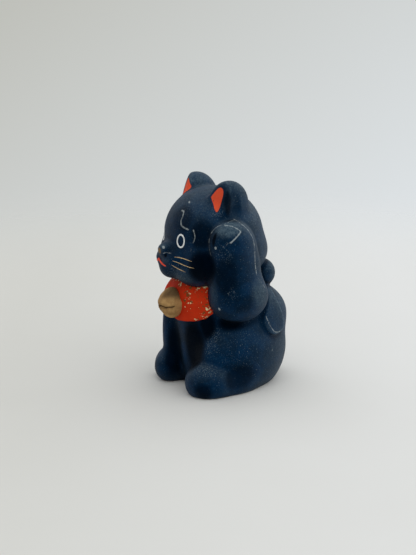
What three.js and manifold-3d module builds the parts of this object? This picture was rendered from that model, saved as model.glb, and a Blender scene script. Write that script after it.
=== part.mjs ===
// A seated lucky cat of low-fired clay, painted matt black, with its left forepaw raised beside the cheek.
// Millimetres, +Z up. The cat looks along -Y, so its left side is at +X, and it stands on Z = 0.
// Head and body are each pressed in two half moulds and left hollow. The other pieces are pressed or rolled
// by themselves and joined to them with slip, and every such joint keeps the thickness of the slip.
import * as THREE from "three";
import { mergeVertices } from "three/addons/utils/BufferGeometryUtils.js";
import Module from "manifold-3d";

const wasm = await Module();
wasm.setup();

// Widths run along X, depths along Y and heights along Z. A rise is a height above the table.
// Clay and joints
const clayWall = 3; // thickness of the pressed shells
const slip = 0.3; // slip left in a joint
const neckHole = 10; // diameter of the hole that joins the two hollows

// Body
const rumpWidth = 37;
const rumpDepth = 37.6;
const rumpHeight = 40;
const rumpRise = 13;
const rumpBack = 4.5; // how far its middle lies behind the origin
const bellyWidth = 17;
const bellyHeight = 46;
const bellyRise = 17;
const bellyFront = 16.7; // how far it reaches ahead of the origin
const backWidth = 33.6;
const backDepth = 41.6;
const backHeight = 28;
const backRise = 23.7;
const backSetBack = 3.4;
const thighWidth = 19;
const thighDepth = 29;
const thighHeight = 28;
const thighRise = 11.6;
const thighProud = 1.5; // how far a thigh stands out past the rump
const thighForward = 1;
const chestWidth = 31;
const chestDepth = 32.2;
const chestHeight = 29;
const chestRise = 33;
const chestForward = 3;
const bodySoftness = 3; // width of the soft creases in the body
const bellySoftness = 4; // softer, where the belly and the thighs run into them

// Head
const headWidth = 38;
const headDepth = 34.4;
const headHeight = 34;
const headForward = 4.2;
const headLap = 9.6; // how far the head is let into the chest
const cheekWidth = 18.5;
const cheekDepth = 19;
const cheekHeight = 16.5;
const cheekDrop = 7.8; // below the middle of the head
const cheekInset = 0.8; // from the side of the skull
const cheekSetBack = 1; // from the front of the skull
const jowlWidth = 15;
const jowlDepth = 14;
const jowlHeight = 10.5;
const jowlSpread = 5.5;
const jowlDrop = 10.6;
const jowlSetBack = 0.1; // from the front of the skull
const napeWidth = 34;
const napeDepth = 33;
const napeHeight = 23;
const napeDrop = 6;
const napeProud = 2.2; // how far it stands out behind the skull
const headSoftness = 3;

// Face
const muzzleWidth = 14;
const muzzleDepth = 5.6;
const muzzleHeight = 9;
const muzzleDrop = 6.8;
const padWidth = 6;
const padHeight = 5;
const padSpread = 2.8;
const padDrop = 7.4;
const padSetBack = 0.9; // behind the tip of the nose
const noseWidth = 5.2;
const noseHeight = 4.4;
const noseDrop = 4;
const noseProud = 4.6; // how far the nose stands out past the skull
const chinWidth = 8.4;
const chinDepth = 8.4;
const chinHeight = 7.6;
const chinDrop = 10.6;
const chinSetBack = 0.8;
const faceSoftness = 2.1;

// Ears
const earWidth = 11;
const earDepth = 16;
const earHeight = 19;
const earInset = 8.2; // middle of an ear from the side of the skull
const earForward = 0.8;
const earLean = 12; // degrees outwards
const earSink = 6; // how far the middle of an ear lies under the top of the skull
const earFaceForward = 6; // the flat forward face, ahead of the middle of the ear
const earFaceSlope = 18; // degrees that the face leans back
const earFaceTurn = 20; // degrees that it turns outwards
const fluteWidth = 5; // groove down the outer side of an ear
const fluteOffset = 1.4; // its middle, out from the side of the ear
const rimSoftness = 1;
const fluteSoftness = 1.5;

// Raised left foreleg
const armWidth = 14;
const armDepth = 19;
const elbowWidth = 17;
const elbowDepth = 21.6;
const elbowHeight = 18;
const elbowLift = 2; // above the widest level of the chest
const elbowProud = 0.4; // how far its middle lies outside the chest
const elbowForward = 2.9;
const raisedPawWidth = 13.6;
const raisedPawDepth = 16.2;
const raisedPawHeight = 15.2;
const raisedPawDrop = 17; // below the top of the head
const raisedPawInset = 2; // its middle, in from the side of the head
const raisedPawForward = 6.8;
const armSoftness = 4;

// Standing right foreleg
const shinWidth = 9.2;
const shinDepth = 10.4;
const shinSpread = 8.2;
const shinProud = 3.8; // how far it stands out past the belly
const standingPawWidth = 10.8;
const standingPawDepth = 13;
const standingPawHeight = 13;
const standingPawReach = 3.7; // how far it reaches past the shin
const standingSoleDepth = 1.2; // how much of the round paw its flat sole takes off
const shinSoftness = 2.5;

// Hind paws and tail
const hindPawWidth = 17;
const hindPawDepth = 22;
const hindPawHeight = 15.6;
const hindPawReach = 5.8; // how far a hind paw reaches past the thigh
const hindPawSpread = 1.7; // how far it lies outside the middle of the thigh
const hindSoleDepth = 3.6; // how much of a round paw its flat sole takes off
const tailWidth = 7;
const tailLength = 13;
const tailProud = 2.8;
const tailSpread = 3.4;
const tailLean = 26; // degrees

// Bib and bell
const bibThickness = 1.1;
const bibRise = 37; // its widest level
// Left half of its outline, seen from the front: across and up
const bibOutline = [
  [0, 24.6],
  [4, 25],
  [8, 25.7],
  [10.9, 27],
  [12.9, 29.2],
  [14, 32],
  [14.4, 35.5],
  [14.4, 41.6],
];
const bellWidth = 10.2; // across the crest where its two domes meet
const bellHeight = 11.2;
const crestLift = 0.7; // crest above the middle of the bell
const upperFullness = 0.6; // from 0, a cone, to 1, a half ovoid
const lowerFullness = 0.85;
const bellDrop = 5.6; // below the widest level of the bib
const bellProud = 0.9; // how far its middle stands out past the face of the bib
const slitWidth = 9;
const slitHeight = 0.6;
const slitDepth = 1.2;
const slitDrop = 1.3; // below the crest

// Bow at the nape
const bowDrop = 9; // knot below the top of the chest
const knotWidth = 5.4;
const knotDepth = 6;
const knotHeight = 6.4;
const knotProud = 1.4;
const loopWidth = 11;
const loopDepth = 9.6;
const loopHeight = 10.4;
const loopSpread = 5.4;
const loopForward = 0.8;
const loopLift = 0.8;
const loopLean = 20; // degrees that a loop rises
const ribbonThickness = 1.5;
const ribbonFacing = 40; // degrees from straight back to the flank that a hanging end lies on
// Outline of an end, seen square on to that flank: across and up
const ribbonOutline = [
  [-4.5, 36.3],
  [-2.6, 34.8],
  [-0.6, 33],
  [0.6, 30.9],
  [1, 28],
  [0.9, 25],
  [0.7, 22.3],
  [1.9, 20.6],
  [4.8, 19.7],
  [7.4, 19.8],
  [8.9, 21.2],
  [9.6, 23.6],
  [9.4, 25.7],
  [8.3, 28.3],
  [6.4, 30.6],
  [3.6, 33.4],
  [0, 36.2],
  [-4.5, 38.8],
];

// Base plate
const plateWidth = 24;
const plateThickness = 3;
const ventWidth = 9;

const at = (x, y, z) => new THREE.Vector3(x, y, z);
const radians = THREE.MathUtils.degToRad;
const turned = (x, y, z) => new THREE.Quaternion().setFromEuler(new THREE.Euler(radians(x), radians(y), radians(z)));
const upright = turned(0, 0, 0);
const forwards = at(0, -1, 0);
const backwards = at(0, 1, 0);

// A form is a function of a point: negative inside, and about the distance to the surface outside.
function ovoid(centre, width, depth, height, turn = upright) {
  const radii = at(width / 2, depth / 2, height / 2);
  const unturn = turn.clone().invert();
  const q = new THREE.Vector3();
  return (p) => {
    q.copy(p).sub(centre).applyQuaternion(unturn).divide(radii);
    const reach = q.length();
    return (reach * (reach - 1)) / Math.max(q.divide(radii).length(), 1e-9);
  };
}

function softMin(a, b, width) {
  const share = Math.max(width - Math.abs(a - b), 0) / width;
  return Math.min(a, b) - (share * share * width) / 4;
}

function blend(width, ...forms) {
  return (p) => forms.map((form) => form(p)).reduce((a, b) => softMin(a, b, width));
}

function carve(width, form, tool) {
  return (p) => -softMin(-form(p), tool(p), width);
}

// The point where a ray leaves a form that it starts in.
function surfacePoint(form, from, way) {
  const step = 0.4;
  const probe = new THREE.Vector3();
  const isInside = (reach) => form(probe.copy(from).addScaledVector(way, reach)) < 0;
  let outer = step;
  while (isInside(outer)) outer += step;
  let inner = outer - step;
  for (let halving = 0; halving < 16; halving++) {
    const middle = (inner + outer) / 2;
    if (isInside(middle)) inner = middle;
    else outer = middle;
  }
  return from.clone().addScaledVector(way, outer);
}

// Turns a direction towards a focus, so that the facets there lie closer together.
function crowded(way, focus, tightness) {
  const angle = way.angleTo(focus);
  const moved = 2 * Math.atan(tightness * Math.tan(angle / 2));
  const side = way.clone().projectOnPlane(focus).normalize();
  return focus.clone().multiplyScalar(Math.cos(moved)).addScaledVector(side, Math.sin(moved));
}

// The skin of a form, all of which can be seen from its middle, grown outwards by `grow`.
function skinOf({ form, middle, detail, focus, tightness }, grow = 0) {
  const sphere = new THREE.IcosahedronGeometry(1, detail);
  const position = sphere.getAttribute("position");
  const grown = (p) => form(p) - grow;
  for (let i = 0; i < position.count; i++) {
    const way = new THREE.Vector3().fromBufferAttribute(position, i).normalize();
    const point = surfacePoint(grown, middle, focus ? crowded(way, focus, tightness) : way);
    position.setXYZ(i, point.x, point.y, point.z);
  }
  return solid(sphere);
}

function solid(geometry) {
  const bare = geometry.clone();
  bare.deleteAttribute("normal");
  bare.deleteAttribute("uv");
  const merged = mergeVertices(bare, 1e-4);
  return new wasm.Manifold(
    new wasm.Mesh({
      numProp: 3,
      vertProperties: new Float32Array(merged.getAttribute("position").array),
      triVerts: new Uint32Array(merged.index.array),
    }),
  );
}

function geometryOf(made) {
  const mesh = made.getMesh();
  const geometry = new THREE.BufferGeometry();
  geometry.setAttribute("position", new THREE.BufferAttribute(new Float32Array(mesh.vertProperties), 3));
  geometry.setIndex(new THREE.BufferAttribute(new Uint32Array(mesh.triVerts), 1));
  geometry.computeVertexNormals();
  return geometry;
}

function block(low, high) {
  const size = high.clone().sub(low);
  const centre = low.clone().add(high).divideScalar(2);
  return solid(new THREE.BoxGeometry(...size.toArray()).translate(...centre.toArray()));
}

function post(diameter, low, high) {
  const cylinder = new THREE.CylinderGeometry(diameter / 2, diameter / 2, high - low, 24);
  return solid(cylinder.rotateX(Math.PI / 2).translate(0, 0, (low + high) / 2));
}

const without = (made, ...tools) => tools.reduce((rest, tool) => rest.subtract(tool), made);

const beyond = 60; // further out than the cat on every side
const belowTable = block(at(-beyond, -beyond, -beyond), at(beyond, beyond, 0));

function mouldHalves(made, partingLine) {
  const front = block(at(-beyond, -2 * beyond, -beyond), at(beyond, partingLine, 2 * beyond));
  return [made.intersect(front), made.subtract(front)];
}

// Body
const chestTop = chestRise + chestHeight / 2;
const bodyMiddle = at(0, 0, (rumpRise + chestRise) / 2);
const thighMiddle = (side) => at(side * (rumpWidth / 2 + thighProud - thighWidth / 2), -thighForward, thighRise);
const bodyForm = blend(
  bellySoftness,
  blend(
    bodySoftness,
    ovoid(at(0, rumpBack, rumpRise), rumpWidth, rumpDepth, rumpHeight),
    ovoid(at(0, backSetBack, backRise), backWidth, backDepth, backHeight),
    ovoid(at(0, -chestForward, chestRise), chestWidth, chestDepth, chestHeight),
  ),
  ovoid(thighMiddle(1), thighWidth, thighDepth, thighHeight),
  ovoid(thighMiddle(-1), thighWidth, thighDepth, thighHeight),
  ovoid(at(0, bellyWidth / 2 - bellyFront, bellyRise), bellyWidth, bellyWidth, bellyHeight),
);
const body = { form: bodyForm, middle: bodyMiddle, detail: 10, focus: forwards, tightness: 0.75 };

// Head, with the face in relief
const headMiddle = at(0, -headForward, chestTop - headLap + headHeight / 2);
const headTop = headMiddle.z + headHeight / 2;
const skullFront = headMiddle.y - headDepth / 2;
const skullBack = headMiddle.y + headDepth / 2;
const noseTip = skullFront - noseProud;
const cheekMiddle = (side) =>
  at(
    side * (headWidth / 2 - cheekInset - cheekWidth / 2),
    skullFront + cheekSetBack + cheekDepth / 2,
    headMiddle.z - cheekDrop,
  );
const jowlMiddle = (side) => at(side * jowlSpread, skullFront + jowlSetBack + jowlDepth / 2, headMiddle.z - jowlDrop);
const padMiddle = (side) => at(side * padSpread, noseTip + padSetBack + padWidth / 2, headMiddle.z - padDrop);
const headForm = blend(
  faceSoftness,
  blend(
    headSoftness,
    ovoid(headMiddle, headWidth, headDepth, headHeight),
    ovoid(at(0, skullBack + napeProud - napeDepth / 2, headMiddle.z - napeDrop), napeWidth, napeDepth, napeHeight),
    ovoid(cheekMiddle(1), cheekWidth, cheekDepth, cheekHeight),
    ovoid(cheekMiddle(-1), cheekWidth, cheekDepth, cheekHeight),
    ovoid(jowlMiddle(1), jowlWidth, jowlDepth, jowlHeight),
    ovoid(jowlMiddle(-1), jowlWidth, jowlDepth, jowlHeight),
    ovoid(at(0, skullFront, headMiddle.z - muzzleDrop), muzzleWidth, muzzleDepth, muzzleHeight),
  ),
  ovoid(padMiddle(1), padWidth, padWidth, padHeight),
  ovoid(padMiddle(-1), padWidth, padWidth, padHeight),
  ovoid(at(0, noseTip + noseWidth / 2, headMiddle.z - noseDrop), noseWidth, noseWidth, noseHeight),
  ovoid(at(0, noseTip + chinSetBack + chinDepth / 2, headMiddle.z - chinDrop), chinWidth, chinDepth, chinHeight),
);
const faceWay = at(0, noseTip, headMiddle.z - muzzleDrop).sub(headMiddle).normalize();
const head = { form: headForm, middle: headMiddle, detail: 9, focus: faceWay, tightness: 0.38 };

// Seats are grown by the slip. What sits on a piece is cut by its seat.
const bodySeat = skinOf(body, slip);
const headSeat = skinOf(head, slip);
const bodyFloor = block(at(-beyond, -beyond, -beyond), at(beyond, beyond, plateThickness + slip));
const bodyHollow = skinOf({ form: bodyForm, middle: bodyMiddle, detail: 4 }, -clayWall).subtract(bodyFloor);
const plateSeat = post(plateWidth + 2 * slip, -plateThickness, plateThickness + 2 * slip);
const headHollow = skinOf({ form: headForm, middle: headMiddle, detail: 3 }, -clayWall);
const neck = post(neckHole, bodyMiddle.z, headMiddle.z);
const headHalves = mouldHalves(without(skinOf(head), headHollow, neck), headMiddle.y);
const bodyHalves = mouldHalves(without(skinOf(body), belowTable, headSeat, bodyHollow, plateSeat, neck), 0);

function ear(side) {
  const middle = at(side * (headWidth / 2 - earInset), headMiddle.y - earForward, headTop - earSink);
  const turn = turned(0, side * earLean, 0);
  const faceNormal = forwards.clone().applyQuaternion(turned(-earFaceSlope, 0, side * earFaceTurn));
  const facePoint = middle.clone().addScaledVector(forwards, earFaceForward);
  const beforeFace = (p) => facePoint.clone().sub(p).dot(faceNormal);
  const flute = ovoid(
    middle.clone().add(at(side * (earWidth / 2 + fluteOffset), 0, 0)),
    fluteWidth,
    fluteWidth,
    earHeight,
    turn,
  );
  const blank = ovoid(middle, earWidth, earDepth, earHeight, turn);
  const form = carve(fluteSoftness, carve(rimSoftness, blank, beforeFace), flute);
  return skinOf({ form, middle, detail: 5 }).subtract(headSeat);
}

// Raised left foreleg
const elbowMiddle = at(chestWidth / 2 + elbowProud, -elbowForward, chestRise + elbowLift);
const raisedPawMiddle = at(headWidth / 2 - raisedPawInset, -raisedPawForward, headTop - raisedPawDrop);
const forearmMiddle = elbowMiddle.clone().lerp(raisedPawMiddle, 0.5);
const forearmHeight = 1.3 * (raisedPawMiddle.z - elbowMiddle.z);
const armForm = blend(
  armSoftness,
  ovoid(elbowMiddle, elbowWidth, elbowDepth, elbowHeight),
  ovoid(forearmMiddle, armWidth, armDepth, forearmHeight),
  ovoid(raisedPawMiddle, raisedPawWidth, raisedPawDepth, raisedPawHeight),
);
const arm = { form: armForm, middle: forearmMiddle, detail: 6 };
const armSeat = skinOf(arm, slip);

// Standing right foreleg
const shin = surfacePoint(bodyForm, at(-shinSpread, 0, rumpRise), forwards);
shin.addScaledVector(forwards, shinProud - shinDepth / 2).setZ(bibRise / 2);
const standingPawFront = shin.y - shinDepth / 2 - standingPawReach;
const standingPaw = at(-shinSpread, standingPawFront + standingPawDepth / 2, standingPawHeight / 2 - standingSoleDepth);
const forelegForm = blend(
  shinSoftness,
  ovoid(shin, shinWidth, shinDepth, bibRise),
  ovoid(standingPaw, standingPawWidth, standingPawDepth, standingPawHeight),
);
const foreleg = { form: forelegForm, middle: shin.clone().setZ(standingPawHeight - standingSoleDepth), detail: 5 };
const forelegSeat = skinOf(foreleg, slip);

// Bib, cut from a skin over the chest and the top of the foreleg
const dressedForm = blend(shinSoftness, bodyForm, forelegForm);
const bibSkin = { ...body, form: (p) => dressedForm(p) - bibThickness };
const bibHalf = (side) => bibOutline.map(([across, up]) => new THREE.Vector2(side * across, up));
const bibShape = new THREE.Shape([...bibHalf(1), ...bibHalf(-1).slice(1).reverse()]);
const bibCutter = new THREE.ExtrudeGeometry(bibShape, { depth: beyond, bevelEnabled: false });
bibCutter.rotateX(Math.PI / 2).translate(0, -chestForward, 0);
const bib = without(skinOf(bibSkin).intersect(solid(bibCutter)), bodySeat, headSeat, armSeat, forelegSeat);
const bibSeat = skinOf(bibSkin, slip);

// Bell: two domes that meet in a sharp crest, with a slit under it
function bell() {
  const middle = surfacePoint(bibSkin.form, at(0, 0, bibRise - bellDrop), forwards);
  middle.addScaledVector(forwards, bellProud);
  const steps = 5;
  const dome = (rise, fullness) => {
    const profile = [];
    for (let i = 0; i <= steps; i++) {
      const lift = Math.sin((i / steps) * (Math.PI / 2));
      const roundness = Math.sqrt(Math.max(1 - lift * lift, 0));
      const reach = fullness * roundness + (1 - fullness) * (1 - lift);
      profile.push(new THREE.Vector2((bellWidth / 2) * reach, rise * lift));
    }
    return profile;
  };
  const lower = dome(-bellHeight / 2 - crestLift, lowerFullness).reverse();
  const upper = dome(bellHeight / 2 - crestLift, upperFullness).slice(1);
  const turnedBell = new THREE.LatheGeometry([...lower, ...upper], 20).rotateX(Math.PI / 2);
  const slitRise = middle.z + crestLift - slitDrop;
  const slit = block(
    at(-slitWidth / 2, middle.y - bellWidth, slitRise - slitHeight / 2),
    at(slitWidth / 2, middle.y - bellWidth / 2 + slitDepth, slitRise + slitHeight / 2),
  );
  return without(solid(turnedBell.translate(0, middle.y, middle.z + crestLift)), bibSeat, slit);
}

// The right hind paw lies outside the standing foreleg, so what is inside the middle of the shin comes off it.
const insideShin = block(at(shin.x, -beyond, -beyond), at(beyond, beyond, beyond));

function hindPaw(side, ...cutters) {
  const middle = thighMiddle(side).add(at(side * hindPawSpread, 0, 0));
  middle.y += (hindPawDepth - thighDepth) / 2 - hindPawReach;
  middle.z = hindPawHeight / 2 - hindSoleDepth;
  const form = ovoid(middle, hindPawWidth, hindPawDepth, hindPawHeight);
  return without(skinOf({ form, middle, detail: 4 }), bodySeat, forelegSeat, belowTable, ...cutters);
}

// Tail, laid against the rump
function tail() {
  const middle = surfacePoint(bodyForm, at(-tailSpread, 0, tailLength / 2), backwards);
  middle.addScaledVector(backwards, tailProud - tailWidth / 2);
  const form = ovoid(middle, tailWidth, tailWidth, tailLength, turned(0, -tailLean, 0));
  return without(skinOf({ form, middle, detail: 4 }), bodySeat, belowTable);
}

// Bow: a knot in the crease of the nape, two loops, and two ends laid down the flanks
const bowRise = chestTop - bowDrop;
const knotMiddle = surfacePoint(bodyForm, at(0, 0, bowRise), backwards).addScaledVector(backwards, knotProud);
const knot = { form: ovoid(knotMiddle, knotWidth, knotDepth, knotHeight), middle: knotMiddle, detail: 3 };
const knotSeat = skinOf(knot, slip);

function bowLoop(side) {
  const middle = knotMiddle.clone().add(at(side * loopSpread, -loopForward, loopLift));
  const form = ovoid(middle, loopWidth, loopDepth, loopHeight, turned(0, -side * loopLean, 0));
  return { form, middle, detail: 3 };
}

function ribbonEnd(side) {
  const outline = new THREE.Shape(ribbonOutline.map(([across, up]) => new THREE.Vector2(-side * across, up)));
  const cutter = new THREE.ExtrudeGeometry(outline, { depth: beyond, bevelEnabled: false });
  cutter.rotateX(Math.PI / 2).rotateZ(Math.PI - side * radians(ribbonFacing));
  const skin = skinOf({ ...body, form: (p) => bodyForm(p) - ribbonThickness });
  const seats = [bodySeat, headSeat, knotSeat, armSeat, skinOf(bowLoop(side), slip)];
  return without(skin.intersect(solid(cutter)), ...seats);
}

// Base plate, let into the foot of the body, with the firing vent through it
const plate = post(plateWidth, 0, plateThickness).subtract(post(ventWidth, -plateThickness, 2 * plateThickness));

const blackPaint = { color: 0x1b2633, roughness: 0.85, metalness: 0 };
const redPaint = { color: 0xc8361c, roughness: 0.8, metalness: 0 };
const bareClay = { color: 0x8f7850, roughness: 0.9, metalness: 0 };
const pieces = [
  ["head_front_half", headHalves[0], blackPaint],
  ["head_back_half", headHalves[1], blackPaint],
  ["body_front_half", bodyHalves[0], blackPaint],
  ["body_back_half", bodyHalves[1], blackPaint],
  ["left_ear", ear(1), blackPaint],
  ["right_ear", ear(-1), blackPaint],
  ["raised_left_foreleg", without(skinOf(arm), headSeat, bodySeat), blackPaint],
  ["right_foreleg", without(skinOf(foreleg), bodySeat, headSeat, belowTable), blackPaint],
  ["left_hind_paw", hindPaw(1), blackPaint],
  ["right_hind_paw", hindPaw(-1, insideShin), blackPaint],
  ["tail", tail(), blackPaint],
  ["bib", bib, redPaint],
  ["bell", bell(), bareClay],
  ["bow_knot", without(skinOf(knot), bodySeat, headSeat), blackPaint],
  ["bow_left_loop", without(skinOf(bowLoop(1)), bodySeat, headSeat, knotSeat), blackPaint],
  ["bow_right_loop", without(skinOf(bowLoop(-1)), bodySeat, headSeat, knotSeat), blackPaint],
  ["bow_left_end", ribbonEnd(1), blackPaint],
  ["bow_right_end", ribbonEnd(-1), blackPaint],
  ["base_plate", plate, bareClay],
];

const cat = new THREE.Group();
for (const [name, made, paint] of pieces) {
  const mesh = new THREE.Mesh(geometryOf(made), new THREE.MeshStandardMaterial(paint));
  mesh.name = name;
  cat.add(mesh);
}

// The origin is the middle of the footprint of the whole cat.
const middle = new THREE.Box3().setFromObject(cat).getCenter(at(0, 0, 0));
cat.position.set(-middle.x, -middle.y, 0);

export default cat;
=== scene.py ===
import math

import bmesh
import bpy
import numpy as np
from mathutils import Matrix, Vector


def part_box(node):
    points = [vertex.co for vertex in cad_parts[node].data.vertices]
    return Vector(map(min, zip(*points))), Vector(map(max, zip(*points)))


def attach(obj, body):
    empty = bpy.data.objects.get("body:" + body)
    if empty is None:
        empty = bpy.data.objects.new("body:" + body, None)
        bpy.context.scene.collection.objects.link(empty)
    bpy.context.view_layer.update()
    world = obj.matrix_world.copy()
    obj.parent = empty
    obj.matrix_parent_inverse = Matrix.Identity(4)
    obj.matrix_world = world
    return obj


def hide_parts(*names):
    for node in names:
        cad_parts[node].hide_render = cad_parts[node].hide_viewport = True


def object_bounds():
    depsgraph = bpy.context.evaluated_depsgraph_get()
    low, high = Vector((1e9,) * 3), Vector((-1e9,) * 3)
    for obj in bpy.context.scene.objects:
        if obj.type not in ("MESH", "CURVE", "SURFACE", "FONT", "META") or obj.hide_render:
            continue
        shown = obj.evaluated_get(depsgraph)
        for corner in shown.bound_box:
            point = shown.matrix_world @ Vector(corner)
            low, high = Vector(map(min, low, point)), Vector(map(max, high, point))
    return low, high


# A seated lucky cat, about 75 mm tall: pressed clay, low fired, painted matt black over white ground,
# with a red bib and a bare clay bell. It has no joints, so every piece rides on "root".
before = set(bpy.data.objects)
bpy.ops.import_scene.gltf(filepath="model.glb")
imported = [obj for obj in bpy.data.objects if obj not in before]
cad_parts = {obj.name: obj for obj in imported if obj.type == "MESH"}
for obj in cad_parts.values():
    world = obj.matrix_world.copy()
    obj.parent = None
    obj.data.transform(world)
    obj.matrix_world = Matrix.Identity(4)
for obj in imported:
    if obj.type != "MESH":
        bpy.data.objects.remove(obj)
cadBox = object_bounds()
plateLow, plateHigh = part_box("base_plate")
place = 1000 * np.array([(plateLow.x + plateHigh.x) / 2, (plateLow.y + plateHigh.y) / 2, 0])  # the cat's own axis, mm


def linear(colour):  # sRGB hex to linear RGBA
    parts = [int(colour[i : i + 2], 16) / 255 for i in (1, 3, 5)]
    return [c / 12.92 if c <= 0.04045 else ((c + 0.055) / 1.055) ** 2.4 for c in parts] + [1]


def addNode(tree, kind, inputs=None, **settings):  # an input is a value, a socket, or a node for its first output
    node = tree.nodes.new(kind)
    for name, value in settings.items():
        setattr(node, name, value)
    for key, value in (inputs or {}).items():
        if isinstance(value, bpy.types.Node):
            value = next(output for output in value.outputs if output.enabled)
        if isinstance(value, bpy.types.NodeSocket):
            tree.links.new(value, node.inputs[key])
        else:
            node.inputs[key].default_value = value
    return node


def newMaterial(name):
    material = bpy.data.materials.new(name)
    material.use_nodes = True
    material.node_tree.nodes.clear()
    return material, material.node_tree


def newObject(name, data):
    item = bpy.data.objects.new(name, data)
    bpy.context.scene.collection.objects.link(item)
    return item


def direction(azimuth, elevation):  # in degrees: 0 is straight ahead of the cat, 90 is on its left
    turn, rise = math.radians(azimuth), math.radians(elevation)
    return Vector((math.sin(turn) * math.cos(rise), -math.cos(turn) * math.cos(rise), math.sin(rise)))


def lookBack(item, way):  # turns a camera or lamp that stands off that way
    item.rotation_mode = "QUATERNION"
    item.rotation_quaternion = (-way).to_track_quat("-Z", "Y")


# Camera: level with the photograph's, to the cat's left front and a little above it
cameraSet = {"azimuth": 62, "elevation": 13.7, "distance": 0.42, "lens": 75.57, "near": 0.01}
cameraTarget = (-2.723, -5.121, 38)
camera = newObject("camera", bpy.data.cameras.new("camera"))
camera.data.lens = cameraSet["lens"]
camera.data.clip_start = cameraSet["near"]
cameraWay = direction(cameraSet["azimuth"], cameraSet["elevation"])
camera.location = Vector((place + cameraTarget) / 1000) + cameraSet["distance"] * cameraWay
lookBack(camera, cameraWay)
bpy.context.scene.camera = camera
bpy.context.scene.view_settings.view_transform = "Standard"

# Stage: a pale table that fades into a paler wall, under soft light from high on the right
stageSet = {
    # the colours of table and wall grow lighter one way: painted light, as it falls from the right and back
    "table": ("#cfcfca", "#dfe0df"),  # from the near left to the far right
    "wall": ("#bfc0ba", "#dee3e6"),  # from high on the near side to low on the far side
    "shadeWay": (0.47, 0.88),  # the way in which table and wall grow lighter
    "tableShade": (-0.07, 0.10),  # metres that way at which the first colour ends and the second begins
    "wallShade": (-0.13, 0.33),  # the same on the wall, by the direction of sight
    "wallLean": 0.8,  # how much that way counts on the wall, where height counts 1
    "cloudSize": 50,
    "cloudDepth": 0.03,
    "tableRadius": 0.46,
    "fadeFrom": 0.16,
    "ambient": 0.42,
    "ambientColour": "#f4f7fb",
    "key": {"strength": 2.2, "angle": 130, "azimuth": 150, "elevation": 62, "colour": "#fffefb"},
    "fill": {"strength": 0.3, "angle": 60, "azimuth": 290, "elevation": 25, "colour": "#eef4ff"},
}


def graded(tree, amount, limits, colours):  # from one colour to the other as the amount goes between its limits
    share = addNode(tree, "ShaderNodeMapRange", {"Value": amount, "From Min": limits[0], "From Max": limits[1]})
    layers = {0: share, 6: linear(colours[0]), 7: linear(colours[1])}
    return addNode(tree, "ShaderNodeMix", layers, data_type="RGBA")


def makeLight(name):
    light = stageSet[name]
    sun = newObject(name, bpy.data.lights.new(name, "SUN"))
    sun.data.energy = light["strength"]
    sun.data.angle = math.radians(light["angle"])
    sun.data.color = linear(light["colour"])[:3]
    lookBack(sun, direction(light["azimuth"], light["elevation"]))


def makeWorld():
    world = bpy.data.worlds.new("studio")
    bpy.context.scene.world = world
    world.use_nodes = True
    tree = world.node_tree
    tree.nodes.clear()
    soft = {"Color": linear(stageSet["ambientColour"]), "Strength": stageSet["ambient"]}
    ambient = addNode(tree, "ShaderNodeBackground", soft)
    sight = addNode(tree, "ShaderNodeTexCoord").outputs["Generated"]
    way = [stageSet["wallLean"] * part for part in stageSet["shadeWay"]] + [-1.0]
    lighter = addNode(tree, "ShaderNodeVectorMath", {0: sight, 1: way}, operation="DOT_PRODUCT")
    colour = graded(tree, lighter, stageSet["wallShade"], stageSet["wall"])
    wall = addNode(tree, "ShaderNodeBackground", {"Color": colour, "Strength": 1.0})
    seen = addNode(tree, "ShaderNodeLightPath").outputs["Is Camera Ray"]
    mix = addNode(tree, "ShaderNodeMixShader", {0: seen, 1: ambient, 2: wall})
    addNode(tree, "ShaderNodeOutputWorld", {"Surface": mix})


def makeTable():
    # A smooth painted board, faintly clouded, with painted light that makes it lighter to the far right.
    # Its edge fades into the wall.
    material, tree = newMaterial("smoothPaintedBoard")
    point = addNode(tree, "ShaderNodeTexCoord").outputs["Object"]
    distance = addNode(tree, "ShaderNodeVectorMath", {0: point}, operation="LENGTH")
    limits = {"Value": distance, "From Min": stageSet["fadeFrom"], "From Max": stageSet["tableRadius"]}
    fade = addNode(tree, "ShaderNodeMapRange", limits, interpolation_type="SMOOTHSTEP")
    way = (*stageSet["shadeWay"], 0.0)
    lighter = addNode(tree, "ShaderNodeVectorMath", {0: point, 1: way}, operation="DOT_PRODUCT")
    pattern = {"Vector": point, "Scale": 1000 / stageSet["cloudSize"], "Detail": 3.0, "Roughness": 0.5}
    cloud = addNode(tree, "ShaderNodeTexNoise", pattern)
    operands = {0: cloud, 1: stageSet["cloudDepth"], 2: lighter}
    clouded = addNode(tree, "ShaderNodeMath", operands, operation="MULTIPLY_ADD")
    tint = graded(tree, clouded, stageSet["tableShade"], stageSet["table"])
    board = addNode(tree, "ShaderNodeBsdfDiffuse", {"Color": tint})
    through = addNode(tree, "ShaderNodeBsdfTransparent")
    mix = addNode(tree, "ShaderNodeMixShader", {0: fade, 1: board, 2: through})
    addNode(tree, "ShaderNodeOutputMaterial", {"Surface": mix})
    shape = bmesh.new()
    bmesh.ops.create_circle(shape, cap_ends=True, segments=96, radius=stageSet["tableRadius"])
    mesh = bpy.data.meshes.new("table")
    shape.to_mesh(mesh)
    shape.free()
    mesh.materials.append(material)
    newObject("table", mesh)


makeLight("key")
makeLight("fill")
makeWorld()
makeTable()
print("camera and stage made")

# Lengths in the shapes below are millimetres in the cat's own frame: it looks along -Y, its left is +X.
def ovoid(middle, size, turn=np.eye(3)):  # negative inside, about the distance outside
    middle = np.array(middle, np.float32)
    turn = np.array(turn, np.float32)
    radii = np.array(size, np.float32) / 2

    def form(p):
        q = ((p - middle) @ turn) / radii
        reach = np.sqrt((q * q).sum(1))
        q = q / radii
        return reach * (reach - 1) / np.maximum(np.sqrt((q * q).sum(1)), 1e-6)

    return form


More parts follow.
